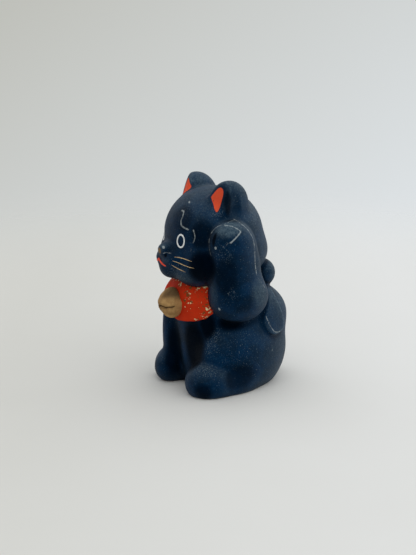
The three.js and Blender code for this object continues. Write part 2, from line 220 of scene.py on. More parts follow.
def turned(axis, degrees):
    c, s = math.cos(math.radians(degrees)), math.sin(math.radians(degrees))
    rows = {
        "X": [[1, 0, 0], [0, c, -s], [0, s, c]],
        "Y": [[c, 0, s], [0, 1, 0], [-s, 0, c]],
        "Z": [[c, -s, 0], [s, c, 0], [0, 0, 1]],
    }
    return np.array(rows[axis])


def softMin(a, b, width):
    share = np.maximum(width - np.abs(a - b), 0) / width
    return np.minimum(a, b) - share * share * width / 4


def blend(width, *forms):
    def form(p):
        value = forms[0](p)
        for other in forms[1:]:
            value = softMin(value, other(p), width)
        return value

    return form


def carve(width, form, tool):
    return lambda p: -softMin(-form(p), tool(p), width)


def leavingPoint(form, start, way):  # where a straight line leaves the form that it starts in
    reach = np.arange(0, 60, 0.1)  # mm: further than any form here is wide
    line = np.array(start, float) + reach[:, None] * np.array(way, float)
    value = form(line.astype(np.float32))
    after = np.argmax(value > 0)
    share = value[after - 1] / (value[after - 1] - value[after])
    return line[after - 1] + share * (line[after] - line[after - 1])


def outlineDistance(u, v, outline):  # below zero inside a closed outline
    points = np.array(outline, float)
    nearest, inside = np.full(len(u), 1e3), np.zeros(len(u), bool)
    for (au, av), (bu, bv) in zip(points, np.roll(points, -1, axis=0)):
        share = np.clip(((u - au) * (bu - au) + (v - av) * (bv - av)) / ((bu - au) ** 2 + (bv - av) ** 2), 0, 1)
        nearest = np.minimum(nearest, np.hypot(u - au - share * (bu - au), v - av - share * (bv - av)))
        crosses = ((av > v) != (bv > v)) & (u < au + (v - av) * (bu - au) / (bv - av if bv != av else 1e-9))
        inside ^= crosses
    return np.where(inside, -nearest, nearest)


def smoothLine(points, closed, steps):  # a curve through the points, with that many steps between two
    points = np.array(points, float)
    count = len(points)
    line = []
    for i in range(count if closed else count - 1):
        near = [(i + k) % count if closed else min(max(i + k, 0), count - 1) for k in (-1, 0, 1, 2)]
        a, b, c, d = points[near]
        square, cube = 2 * a - 5 * b + 4 * c - d, 3 * b - a - 3 * c + d
        for t in np.arange(steps) / steps:
            line.append(0.5 * (2 * b + (c - a) * t + square * t**2 + cube * t**3))
    if not closed:
        line.append(points[-1])
    return np.array(line)


def pairOf(middle, size):  # one on the cat's left and one on its right
    return [ovoid(middle * np.array([side, 1, 1]), size) for side in (1, -1)]


forwards = np.array([0.0, -1.0, 0.0])
bodyShape = {
    "rump": ((0, 4.5, 13), (37, 37.6, 40)),
    "back": ((0, 3.4, 23.7), (33.6, 41.6, 28)),
    "chest": ((0, -3.0, 33), (31, 32.2, 29)),
    "belly": ((0, -8.2, 17), (17, 17, 46)),
    "thigh": ((10.5, -1, 11.6), (19, 29, 28)),
    "foot": ((10.9, -5, 3.8), (18.4, 26, 16)),  # fills the thigh out down to the table
    "softness": 3,  # width of a crease
    "bellySoftness": 4,
    "footSoftness": 2,
}
bodyForm = blend(
    bodyShape["bellySoftness"],
    blend(bodyShape["softness"], *[ovoid(*bodyShape[part]) for part in ("rump", "back", "chest")]),
    *pairOf(*bodyShape["thigh"]),
    ovoid(*bodyShape["belly"]),
)
bodyForm = blend(bodyShape["footSoftness"], bodyForm, *pairOf(*bodyShape["foot"]))

headShape = {
    "skull": ((0, -4.4, 54.8), (38, 34.2, 34)),
    "nape": ((0, -1.3, 48.9), (34, 33, 23)),
    "cheek": ((8.95, -10.9, 47.1), (18.5, 19, 16.5)),
    "jowl": ((5.2, -14.9, 43.7), (15, 14, 10.9)),
    "muzzle": ((0, -21.4, 48.1), (14, 5.6, 9)),
    "pad": ((2.8, -22.1, 47.5), (6, 6, 5)),
    "nose": ((0, -23.4, 50.9), (5.2, 5.2, 4.4)),
    "chin": ((0, -21.0, 44.3), (8.4, 8.4, 7.6)),
    "softness": 3,
    "faceSoftness": 2.1,
}


headForm = blend(
    headShape["faceSoftness"],
    blend(
        headShape["softness"],
        *[ovoid(*headShape[part]) for part in ("skull", "nape")],
        *pairOf(*headShape["cheek"]),
        *pairOf(*headShape["jowl"]),
        ovoid(*headShape["muzzle"]),
    ),
    *pairOf(*headShape["pad"]),
    *[ovoid(*headShape[part]) for part in ("nose", "chin")],
)

earShape = {
    "middle": (10.8, -5.0, 65.9),
    "size": (11, 16, 19),
    "lean": 12,  # degrees outwards
    "face": {"forward": 6, "slope": 18, "turn": 20},  # the flat front that is painted red
    "flute": {"out": 6.9, "size": (5, 5, 19)},  # groove down the outer side
    "rimSoftness": 1,
    "fluteSoftness": 1.5,
}


def earForm(side):
    middle = earShape["middle"] * np.array([side, 1, 1])
    lean = turned("Y", side * earShape["lean"])
    face = earShape["face"]
    normal = turned("X", -face["slope"]) @ turned("Z", side * face["turn"]) @ forwards
    facePoint = middle + face["forward"] * forwards
    flute = ovoid(middle + [side * earShape["flute"]["out"], 0, 0], earShape["flute"]["size"], lean)
    blank = ovoid(middle, earShape["size"], lean)

    def beforeFace(p):
        return ((facePoint - p) @ normal).astype(np.float32)

    return carve(earShape["fluteSoftness"], carve(earShape["rimSoftness"], blank, beforeFace), flute)


armShape = {
    "elbow": ((15.9, -2.9, 35), (17, 21.6, 18)),
    "forearm": ((16.45, -4.85, 44.95), (14, 19, 25.87)),
    "paw": ((17, -6.8, 54.9), (13.6, 16.2, 15.2)),
    "softness": 4,
}
armForm = blend(armShape["softness"], *[ovoid(*armShape[part]) for part in ("elbow", "forearm", "paw")])

legShape = {
    "spread": 8.2,
    "shin": (9.2, 10.4, 37),
    "shinProud": 5.0,  # how far it stands out past the belly
    "paw": (10.8, 13, 13),
    "pawReach": 3.3,
    "pawRise": 5.3,
    "softness": 2.5,
}
shin = leavingPoint(bodyForm, (-legShape["spread"], 0, bodyShape["rump"][0][2]), forwards)
shin += forwards * (legShape["shinProud"] - legShape["shin"][1] / 2)
shin[2] = legShape["shin"][2] / 2
pawFront = shin[1] - legShape["shin"][1] / 2 - legShape["pawReach"]
legForm = blend(
    legShape["softness"],
    ovoid(shin, legShape["shin"]),
    ovoid((shin[0], pawFront + legShape["paw"][1] / 2, legShape["pawRise"]), legShape["paw"]),
)

hindPaw = {"middle": (12.2, -11.8, 4.2), "size": (17, 19, 15.6)}
tailShape = {"size": (7, 7, 13), "proud": 2.8, "spread": 3.4, "lean": 26}
tailMiddle = leavingPoint(bodyForm, (-tailShape["spread"], 0, tailShape["size"][2] / 2), -forwards)
tailMiddle -= forwards * (tailShape["proud"] - tailShape["size"][0] / 2)

bowShape = {
    "rise": 38.5,
    "knot": (5.4, 6, 6.4),
    "knotProud": 1.4,
    "loop": (11, 9.6, 10.4),
    "loopSpread": 5.4,
    "loopForward": 1.1,
    "loopLift": 1.3,
    "loopLean": 20,
    "ribbonThickness": 1.5,
    "ribbonEdge": 0.8,  # rounding of its edges
    "ribbonFacing": 40,  # degrees from straight back to the flank that a hanging end lies on
    "ribbonOutline": [  # seen square on to that flank: across and up
        (-4.5, 36.3), (-2.6, 34.8), (-0.6, 33), (0.6, 30.9), (1, 28), (0.9, 25), (0.7, 22.3), (1.9, 20.6), (4.8, 19.7),
        (7.4, 19.8), (8.9, 21.2), (9.6, 23.6), (9.4, 25.7), (8.3, 28.3), (6.4, 30.6), (3.6, 33.4), (0, 36.2),
        (-4.5, 38.8),
    ],
}
knotMiddle = leavingPoint(bodyForm, (0, 0, bowShape["rise"]), -forwards) - forwards * bowShape["knotProud"]


def loopForm(side):
    middle = knotMiddle + [side * bowShape["loopSpread"], -bowShape["loopForward"], bowShape["loopLift"]]
    return ovoid(middle, bowShape["loop"], turned("Y", -side * bowShape["loopLean"]))


def ribbonForm(side):
    facing = math.radians(bowShape["ribbonFacing"])
    outline = smoothLine(bowShape["ribbonOutline"], True, 2)
    margin, far, inmost = 2, 4, 4  # mm round the outline, the distance given beyond that, and where the flank starts
    low, high = outline.min(0) - margin, outline.max(0) + margin

    def form(p):
        across = side * math.cos(facing) * p[:, 0] - math.sin(facing) * p[:, 1]
        outward = side * math.sin(facing) * p[:, 0] + math.cos(facing) * p[:, 1]
        near = (across > low[0]) & (across < high[0]) & (p[:, 2] > low[1]) & (p[:, 2] < high[1])
        near &= outward > inmost
        value = np.full(len(p), far, np.float32)
        edge = outlineDistance(across[near], p[near, 2], outline)
        value[near] = -softMin(bowShape["ribbonThickness"] - bodyForm(p[near]), -edge, bowShape["ribbonEdge"])
        return value

    return form


# One skin over all the black clay, with soft joints between the forms, cut afterwards into its pieces.
skinSet = {
    "step": 0.36,  # mm between the points of the mesh
    "wall": 1.2,  # mm of clay kept behind the skin
    "margin": 2,  # of the net round the solids' box
    "seam": (0.06, 0.94),  # a seam crosses an edge between these shares of it
    "far": 50,  # keeps the vent to the foot
    "foot": 0.4,  # soft edge where the foot meets the table
    "ventRadius": 12.15,  # opening for the base plate
    "joints": {"leg": 2.2, "hindPaw": 1.4, "tail": 1.6, "head": 0.9, "ear": 1.6, "bow": 0.8},
    "elbow": 1.4,  # crease under the elbow
    "shoulder": 4.0,  # softer behind the shoulder
    "shoulderFrom": 1,
    "shoulderDepth": 9,
}
earForms = [earForm(1), earForm(-1)]
hindPawForms = pairOf(**hindPaw)
tailForm = ovoid(tailMiddle, tailShape["size"], turned("Y", -tailShape["lean"]))
knotForm = ovoid(knotMiddle, bowShape["knot"])
loopForms = [loopForm(1), loopForm(-1)]
ribbonForms = [ribbonForm(1), ribbonForm(-1)]


def skinForm(p):
    joints = skinSet["joints"]
    value = softMin(bodyForm(p), legForm(p), joints["leg"])
    for paw in hindPawForms:
        value = softMin(value, paw(p), joints["hindPaw"])
    value = softMin(value, tailForm(p), joints["tail"])
    behind = np.clip((p[:, 1] - skinSet["shoulderFrom"]) / skinSet["shoulderDepth"], 0, 1)
    value = softMin(value, armForm(p), skinSet["elbow"] + (skinSet["shoulder"] - skinSet["elbow"]) * behind)
    value = softMin(value, headForm(p), joints["head"])
    for ear in earForms:
        value = softMin(value, ear(p), joints["ear"])
    for part in (*ribbonForms, *loopForms, knotForm):
        value = softMin(value, part(p), joints["bow"])
    return -softMin(-value, p[:, 2], skinSet["foot"])


def gradient(form, p, value=None, reach=0.03):  # quicker where the value at the points is given
    slope = np.empty_like(p)
    for axis in range(3):
        step = np.zeros(3, np.float32)
        step[axis] = reach
        if value is None:
            slope[:, axis] = (form(p + step) - form(p - step)) / (2 * reach)
        else:
            slope[:, axis] = (form(p + step) - value) / reach
    return slope


def unit(vectors):
    return vectors / np.maximum(np.linalg.norm(vectors, axis=1), 1e-6)[:, None]


def settle(form, p, rounds=3):  # moves points onto the surface of the form
    for _ in range(rounds):
        value = form(p)
        slope = gradient(form, p, value)
        p = p - (value / np.maximum((slope * slope).sum(1), 1e-4))[:, None] * slope
    return p


def netOver(form, low, high, step):  # a net of four-sided faces over the form, relaxed and settled on it
    low, high = np.array(low, float), np.array(high, float)
    counts = np.ceil((high - low) / step).astype(int) + 1
    axes = [low[i] + step * np.arange(counts[i]) for i in range(3)]
    value = np.empty(counts, np.float32)
    for i, x in enumerate(axes[0]):
        plane = np.stack(np.meshgrid([x], axes[1], axes[2], indexing="ij"), -1)
        value[i] = form(plane.reshape(-1, 3).astype(np.float32)).reshape(counts[1], counts[2])
    total, hits, faces = np.zeros((value.size, 3)), np.zeros(value.size), []
    for axis in range(3):
        u, v = (axis + 1) % 3, (axis + 2) % 3
        near = np.take(value, range(counts[axis] - 1), axis)
        far = np.take(value, range(1, counts[axis]), axis)
        cell = np.argwhere((near < 0) != (far < 0))
        near, far = near[tuple(cell.T)], far[tuple(cell.T)]
        point = low + step * cell
        point[:, axis] += step * near / (near - far)
        around = []
        for du, dv in ((0, 0), (-1, 0), (-1, -1), (0, -1)):
            corner = cell.copy()
            corner[:, u] += du
            corner[:, v] += dv
            index = np.ravel_multi_index(corner.T, counts)
            for i in range(3):
                total[:, i] += np.bincount(index, point[:, i], value.size)
            hits += np.bincount(index, minlength=value.size)
            around.append(index)
        face = np.stack(around, 1)
        face[near > 0] = face[near > 0][:, ::-1]
        faces.append(face)
    faces = np.concatenate(faces)
    used, faces = np.unique(faces, return_inverse=True)
    faces = faces.reshape(-1, 4)
    p = (total[used] / hits[used][:, None]).astype(np.float32)
    edges = np.concatenate([faces[:, [i, (i + 1) % 4]] for i in range(4)])
    for _ in range(2):
        sums = np.stack([np.bincount(edges[:, 0], p[edges[:, 1], i], len(p)) for i in range(3)], 1)
        p = (p + sums / np.bincount(edges[:, 0], minlength=len(p))[:, None]).astype(np.float32) / 2
        p = settle(form, p, 1)
    return settle(form, p, 2), faces


pieceForms = {
    "left_ear": earForms[0], "right_ear": earForms[1], "raised_left_foreleg": armForm, "right_foreleg": legForm,
    "left_hind_paw": hindPawForms[0], "right_hind_paw": hindPawForms[1], "tail": tailForm, "bow_knot": knotForm,
    "bow_left_loop": loopForms[0], "bow_right_loop": loopForms[1],
    "bow_left_end": ribbonForms[0], "bow_right_end": ribbonForms[1],
}


def pieceValues(p):  # how far each point lies from each piece's form; a seam runs where two are level
    body, head = bodyForm(p), headForm(p)
    partingLine = headShape["skull"][0][1]
    values = {
        "body_front_half": body + np.maximum(p[:, 1], 0),
        "body_back_half": body + np.maximum(-p[:, 1], 0),
        "head_front_half": head + np.maximum(p[:, 1] - partingLine, 0),
        "head_back_half": head + np.maximum(partingLine - p[:, 1], 0),
        **{name: form(p) for name, form in pieceForms.items()},
    }
    least = np.min(list(values.values()), axis=0)
    radial = np.sqrt(p[:, 0] ** 2 + p[:, 1] ** 2) - skinSet["ventRadius"]
    values["vent"] = least + np.where(p[:, 2] < skinSet["foot"], radial, skinSet["far"])
    return values


def cutByValue(p, faces, values):  # every face goes to the piece whose value is least; faces on a seam are cut
    names, value = list(values), np.array(list(values.values()))
    owner = value.argmin(0)
    extra, cuts = [], {}
    parts = {name: [] for name in names}
    whole = (owner[faces] == owner[faces[:, :1]]).all(1)
    for label, name in enumerate(names):
        parts[name] = faces[whole & (owner[faces[:, 0]] == label)].tolist()

    def cut(a, b):  # the point of the seam on an edge
        a, b = (a, b) if a < b else (b, a)
        if (a, b) not in cuts:
            start = value[owner[a], a] - value[owner[b], a]
            end = value[owner[a], b] - value[owner[b], b]
            share = start / (start - end) if start != end else 0.5
            share = min(max(share, skinSet["seam"][0]), skinSet["seam"][1])
            cuts[a, b] = len(p) + len(extra)
            extra.append(p[a] + share * (p[b] - p[a]))
        return cuts[a, b]

    for quad in faces[~whole]:
        for a, b, c in ((quad[0], quad[1], quad[2]), (quad[0], quad[2], quad[3])):
            corners = [int(a), int(b), int(c)]
            labels = [owner[i] for i in corners]
            if len(set(labels)) == 1:
                parts[names[labels[0]]].append(corners)
            elif len(set(labels)) == 2:
                lone = next(i for i in range(3) if labels.count(labels[i]) == 1)
                a, b, c = corners[lone:] + corners[:lone]
                ab, ca = cut(a, b), cut(c, a)
                parts[names[owner[a]]].append([a, ab, ca])
                parts[names[owner[b]]].append([ab, b, c, ca])
            else:
                a, b, c = corners
                ab, bc, ca = cut(a, b), cut(b, c), cut(c, a)
                middle = len(p) + len(extra)
                extra.append((p[a] + p[b] + p[c]) / 3)
                parts[names[owner[a]]].append([a, ab, middle, ca])
                parts[names[owner[b]]].append([b, bc, middle, ab])
                parts[names[owner[c]]].append([c, ca, middle, bc])
    return np.concatenate([p, extra]).astype(np.float32) if extra else p, parts


def meshOf(name, p, faces, normals=None, attributes=None):  # millimetres in the cat's frame to a mesh in metres
    mesh = bpy.data.meshes.new(name)
    mesh.from_pydata(((p + place) / 1000).tolist(), [], faces)
    mesh.polygons.foreach_set("use_smooth", [True] * len(mesh.polygons))
    for key, value in (attributes or {}).items():
        mesh.attributes.new(key, "FLOAT", "POINT").data.foreach_set("value", value.astype(np.float32))
    mesh.validate()
    if normals is not None:
        mesh.normals_split_custom_set_from_vertices(normals.tolist())
    return mesh


def walled(p, normals, faces, wall):  # an open skin becomes a closed shell with a wall behind it
    used = sorted({i for face in faces for i in face})
    new = {old: i for i, old in enumerate(used)}
    faces = [[new[i] for i in face] for face in faces]
    count = len(used)
    sides = {}
    for face in faces:
        for a, b in zip(face, face[1:] + face[:1]):
            sides[a, b] = True
    rims = [(a, b) for a, b in sides if (b, a) not in sides]
    inner = [[i + count for i in reversed(face)] for face in faces]
    rimFaces = [[b, a, a + count, b + count] for a, b in rims]
    outer, outward = p[used], normals[used]
    points = np.concatenate([outer, outer - wall * outward])
    return points, np.concatenate([outward, -outward]), faces + inner + rimFaces, used


def addPiece(name, mesh, material, replaced=(), slot=None):
    piece = newObject(name, mesh)
    mesh.materials.clear()
    mesh.materials.append(material)
    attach(piece, "root")
    if replaced:
        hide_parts(*replaced)


# Materials, each from a table. Sizes and depths are millimetres; a texture's scale is 1000 divided by its size.
# "marks" are painted on the surface. "noises": size, detail and roughness. "sums": a mark, how much of it, and
# the noise that breaks it up. "masks": what each follows, the limits of that, and what the mask goes from and to.
# "coats": from the lowest up, where each shows and its colour. "relief": below zero it is a hollow. "finish": the
# shader's inputs, where a name stands for one of the values above.
def layeredPaint(name, look):
    material, tree = newMaterial(name)
    point = addNode(tree, "ShaderNodeTexCoord").outputs["Object"]
    value = {}
    for key in look["marks"]:
        value[key] = addNode(tree, "ShaderNodeAttribute", attribute_name=key).outputs["Fac"]
    for key, (size, detail, roughness) in look["noises"].items():
        pattern = {"Vector": point, "Scale": 1000 / size, "Detail": detail, "Roughness": roughness}
        value[key] = addNode(tree, "ShaderNodeTexNoise", pattern)
    if "speckSize" in look:
        cells = {"Vector": point, "Scale": 1000 / look["speckSize"], "Randomness": 1.0}
        speck = addNode(tree, "ShaderNodeTexVoronoi", cells)
        value["speckDistance"], value["speckColour"] = speck.outputs["Distance"], speck.outputs["Color"]
    for key, (mark, share, noise) in look.get("sums", {}).items():
        operands = {0: value[mark], 1: share, 2: value[noise]}
        value[key] = addNode(tree, "ShaderNodeMath", operands, operation="MULTIPLY_ADD")
    for key, (source, low, high, start, end) in look["masks"].items():
        limits = {"Value": value[source], "From Min": low, "From Max": high, "To Min": start, "To Max": end}
        value[key] = addNode(tree, "ShaderNodeMapRange", limits, interpolation_type=look["maskEdge"])
    for key, factors in look.get("products", {}).items():
        value[key] = value[factors[0]]
        for factor in factors[1:]:
            operands = {0: value[key], 1: value[factor]}
            value[key] = addNode(tree, "ShaderNodeMath", operands, operation="MULTIPLY", use_clamp=True)
    colour = linear(look["under"])
    for share, coat in look["coats"]:
        layers = {0: value[share], 6: colour, 7: linear(coat)}
        colour = addNode(tree, "ShaderNodeMix", layers, data_type="RGBA")
    finish = {key: value[given] if isinstance(given, str) else given for key, given in look["finish"].items()}
    below = {}
    for key, depth in look["relief"].items():
        height = {"Height": value[key], "Distance": abs(depth) / 1000, "Strength": 1.0}
        below = {"Normal": addNode(tree, "ShaderNodeBump", {**height, **below}, invert=depth < 0)}
    paint = addNode(tree, "ShaderNodeBsdfPrincipled", {"Base Color": colour, **finish, **below})
    addNode(tree, "ShaderNodeOutputMaterial", {"Surface": paint})
    return material


# Matt black distemper over white ground on fired clay: no shine, a cool blue-black, greyer where dust and handling
# have rubbed it, with painted highlight on faces that look up and back and painted shade in creases and in listed
# zones, and with a fine grain and pale specks where it has flaked.
# a pale flake colour, and near black for painted shade
flake, shadeBlack = "#a9b1b0", "#000102"
blackLook = {
    "marks": ("rubAndHighlight", "scuffAndHighlight", "dusty", "foot", "gold", "open", "paintedShade"),
    "noises": {
        "cloud": (8, 4.0, 0.6),
        "fleck": (0.85, 2.0, 0.6),
        "mottle": (0.42, 3.0, 0.6),
        "grain": (0.34, 2.0, 0.6),
        "dustGrain": (0.36, 1.5, 0.6),
        "brush": (2.6, 3.0, 0.6),
    },
    "speckSize": 0.75,
    "sums": {"scuffHighlightField": ("scuffAndHighlight", 1.6, "fleck"), "dustField": ("dusty", 0.13, "dustGrain")},
    "maskEdge": "SMOOTHSTEP",
    "masks": {
        "clouded": ("cloud", 0.38, 0.62, 0.2, 0.85),
        "thinClouds": ("cloud", 0.4, 0.64, 0.3, 0.6),
        "thinSpots": ("mottle", 0.5, 0.66, 0.0, 1.0),
        # rub, dust and specks stay out of the painted shade zones
        "outsidePaintedShade": ("paintedShade", 0.0, 1.0, 1.0, 0.0),
        "grainy": ("grain", 0.3, 0.7, 0.5, 1.2),
        "patchy": ("fleck", 0.34, 0.66, 0.62, 1.3),
        # painted shade: near black in the creases, where the surface is less open
        "creaseShade": ("open", 0.85, 0.4, 0.0, 0.85),
        # painted shade: near black in the listed zones
        "paintedShadeDark": ("paintedShade", 0.0, 1.0, 0.0, 0.9),
        "speckCore": ("speckDistance", 0.22, 0.12, 0.0, 1.0),
        "speckPick": ("speckColour", 0.86, 0.92, 0.0, 0.34),
        # pale scuffs, and the painted highlights on the nose and lip
        "scuffedAndHighlit": ("scuffHighlightField", 1.3, 1.75, 0.0, 0.66),
        "settled": ("dustField", 0.65, 0.74, 0.0, 0.32),
        "footClouds": ("cloud", 0.35, 0.5, 0.0, 1.0),
        "roughness": ("mottle", 0.3, 0.7, 0.5, 0.68),
        # less specular reflection in the painted shade zones
        "shine": ("paintedShade", 0.0, 1.0, 0.4, 0.08),
    },
    "products": {
        "thin": ("thinSpots", "thinClouds", "open", "outsidePaintedShade"),
        "rubHighlightGrain": ("rubAndHighlight", "grainy", "patchy", "outsidePaintedShade"),
        "specks": ("speckCore", "speckPick", "outsidePaintedShade"),
        "settledDust": ("settled", "outsidePaintedShade"),
        "bareFoot": ("foot", "footClouds"),
    },
    "under": "#010a13",
    "coats": (
        ("clouded", "#031e38"),
        ("thin", "#173c54"),
        # grey of rubbed paint and of painted highlight
        ("rubHighlightGrain", "#47575f"),
        ("creaseShade", shadeBlack),
        ("paintedShadeDark", shadeBlack),
        ("specks", flake),
        ("settledDust", "#7d8c92"),
        ("scuffedAndHighlit", flake),
        ("gold", "#8a6a3c"),
        ("bareFoot", "#8a6b4c"),
    ),
    "relief": {"brush": 0.09, "grain": 0.06},
    "finish": {
        "Roughness": "roughness",
        "IOR": 1.45,
        "Specular IOR Level": "shine",
        "Specular Tint": (0.03, 0.3, 0.8, 1.0),  # blue face on, and pale only at a grazing angle
        "Sheen Weight": 0.02,
        "Sheen Roughness": 0.5,
        "Sheen Tint": linear("#8fa3b8"),
    },
}


def redDistemper(name, red, deepRed):
    # Cinnabar-red distemper over white ground: an even, dense matt red, with small chips down to the cream
    # ground, thicker at the top of the bib, and a few dark green specks.
    look = {
        "marks": ("chips",),
        "noises": {
            "cloud": (4, 3.0, 0.6),
            "grain": (0.3, 2.0, 0.6),
            "chip": (1.15, 3.0, 0.65),
            "green": (1.3, 2.0, 0.5),
        },
        "sums": {"chipField": ("chips", 0.18, "chip"), "greenField": ("chips", 0.1, "green")},
        "maskEdge": "LINEAR",
        "masks": {"chipped": ("chipField", 0.725, 0.75, 0.0, 1.0), "greened": ("greenField", 0.67, 0.71, 0.0, 0.75)},
        "under": deepRed,
        "coats": (("cloud", red), ("greened", "#3d4a22"), ("chipped", "#e2d3a2")),
        "relief": {"chipped": -0.12, "grain": 0.05},
        "finish": {"Roughness": 0.75, "IOR": 1.45, "Specular IOR Level": 0.15},
    }
    return layeredPaint(name, look)


# Low-fired earthenware, unglazed: a dry khaki tan, gritty; darker on the bell's upper side and round the rim of
# the base plate, with painted shade inside the bell's slit.
clayLook = {
    "marks": ("stain",),
    "noises": {"cloud": (3.2, 6.0, 0.65), "grain": (0.35, 3.0, 0.6), "dent": (1.8, 3.0, 0.5)},
    "maskEdge": "LINEAR",
    "masks": {"clouded": ("cloud", 0.35, 0.65, 0.0, 1.0)},
    "under": "#8f6d42",
    "coats": (("clouded", "#b8935f"), ("stain", "#38291a")),
    "relief": {"dent": 0.16, "grain": 0.07},
    "finish": {"Roughness": 0.85, "IOR": 1.5, "Specular IOR Level": 0.25},
}


def brushedPaint(name, colour, worn, rough):
    # A brush line of gum-bound pigment: opaque and matt, and thinner, so a little duller, where the brush ran dry.
    look = {
        "marks": (),
        "noises": {"dry": (0.7, 3.0, 0.7)},
        "maskEdge": "LINEAR",
        "masks": {"ranDry": ("dry", 0.4, 0.7, 0.0, 1.0)},
        "under": colour,
        "coats": (("ranDry", worn),),
        "relief": {"dry": 0.03},
        "finish": {"Roughness": rough, "Specular IOR Level": 0.3},
    }
    return layeredPaint(name, look)


blackPaint = layeredPaint("mattBlackDistemperOnClay", blackLook)
redPaint = redDistemper("redDistemperOnGround", "#d1340a", "#b22706")
# The ears' red is a lighter copy of the bib's: painted light on the ear faces.
earRedPaintedLight = redDistemper("redDistemperEarsPaintedLight", "#e65a36", "#d0452a")
clay = layeredPaint("unglazedEarthenware", clayLook)
eyeWhite = brushedPaint("shellWhiteBrushLine", "#f6f7f4", "#d9dedf", 0.6)
whiskerOchre = brushedPaint("ochreBrushLine", "#dcbd8c", "#a08356", 0.7)
mouthRed = brushedPaint("vermilionBrushLine", "#ee4a2a", "#d83c20", 0.6)
print("materials made")


# Worn places of the black paint, knocks and rubs, and two painted highlights on the nose and lip:
# each a line over the clay with a width and a strength
wearAndHighlightLines = {
    "crack": (
        [
            (2.6, -18.2, 64.5), (4.0, -18.1, 64.2), (4.6, -18.9, 62.6), (4.7, -19.6, 61.1), (6.0, -19.8, 59.7),
            (8.9, -18.8, 58.9),
        ],
        0.55, 0.7,
    ),
    "overCrack": ([(4.6, -16.2, 66.2), (4.0, -17.3, 65.2), (3.2, -18.3, 64.3)], 0.3, 0.55),
    "acrossCrack": ([(4.0, -18.3, 64.0), (5.7, -17.4, 64.4), (7.1, -16.2, 65.2)], 0.3, 0.5),
    "brow": ([(3.0, -15.5, 67.4), (3.4, -15.7, 67.2)], 0.5, 0.95),
    "crown": ([(-1.1, -10.3, 70.7), (-2.4, -7.7, 71.4), (-6.5, -3.1, 71.2)], 0.35, 0.6),
    "behindEye": ([(10.7, -17.8, 58.9), (11.2, -17.7, 57.7), (11.6, -17.7, 56.4), (11.1, -18.2, 54.6)], 0.42, 0.76),
    "belowThat": ([(11.1, -18.2, 54.6), (11.1, -18.7, 52.9), (10.9, -19.2, 51.7)], 0.2, 0.6),
    "smudge": ([(9.9, -20.8, 46.6), (11.2, -20.3, 46.1), (12.4, -19.7, 45.6)], 0.6, 0.45),
    "pawArc": ([(19.0, -10.4, 61.3), (20.8, -8.2, 61.1), (22.4, -5.9, 59.4)], 0.35, 0.75),
    "pawSide": ([(22.4, -5.9, 59.4), (23.2, -8.3, 57.6), (23.1, -10.2, 56.1)], 0.35, 0.9),
    "pawPatch": ([(23.1, -10.2, 56.1), (22.6, -11.2, 55.6)], 0.7, 0.6),
    "pawGraze": ([(22.9, -10.6, 56.0), (22.3, -11.6, 55.2), (21.6, -12.6, 54.6)], 0.6, 0.55),
    "pawRim": (
        [(16.4, -14.3, 57.6), (16.2, -14.7, 56.3), (16.5, -14.9, 54.3), (16.9, -14.9, 52.2), (17.6, -14.6, 50.6)],
        0.4, 0.6,
    ),
    "pawTop": (
        [(16.1, -14.0, 58.4), (16.7, -12.4, 60.4), (18.5, -9.9, 61.7), (18.1, -7.7, 62.3), (17.2, -5.7, 62.7)],
        0.4, 0.68,
    ),
    "pawDot": ([(19.8, -14.2, 54.2), (19.8, -14.2, 54.0)], 0.45, 1.3),
    "armBack": (
        [(16.9, -5.5, 62.9), (18.2, -4.7, 62.1), (19.9, -4.1, 61.3), (21.3, -2.1, 58.9), (21.7, -0.8, 56.4)],
        0.35, 0.75,
    ),
    "armEdge": (
        [(21.7, -0.8, 56.4), (22.1, -0.4, 53.3), (22.2, -0.2, 50.0), (22.4, -0.1, 46.9), (22.4, 0.4, 43.6)],
        0.4, 0.7,
    ),
    "shoulder": ([(22.4, 0.5, 43.3), (22.0, 2.4, 40.9), (21.5, 4.4, 38.4)], 0.35, 0.6),
    "earBack": ([(14.7, 0.9, 66.7), (15.6, -0.1, 64.7), (16.3, -1.1, 63.3), (17.1, -1.3, 61.7)], 0.25, 0.6),
    "ribbon": (
        [(17.5, 7.3, 26.9), (18.1, 7.8, 25.2), (18.4, 8.8, 22.9), (18.4, 10.6, 20.9), (17.3, 13.2, 20.4)],
        0.3, 0.75,
    ),
    "flank": ([(18.2, 8.7, 17.1), (18.2, 9.7, 15.4), (18.6, 9.3, 14.0)], 0.35, 0.6),
    "armDots": ([(22.1, -10.6, 38.6), (22.5, -10.1, 37.2), (23.2, -8.6, 39.4)], 0.45, 0.55),
    "underArmDot": ([(19.1, -12.4, 32.6), (19.2, -12.3, 32.2)], 0.5, 0.95),
    "haunchDot": ([(13.9, -12.5, 20.7), (13.9, -12.4, 20.4)], 0.5, 0.8),
    # painted highlights on the nose and on the lip
    "noseHighlight": ([(1.5, -25.0, 52.2), (1.8, -24.9, 51.8)], 0.45, 1.3),
    "lipHighlight": ([(1.9, -25.2, 49.9), (3.0, -24.6, 50.3), (4.6, -23.4, 50.2)], 0.28, 0.75),
}

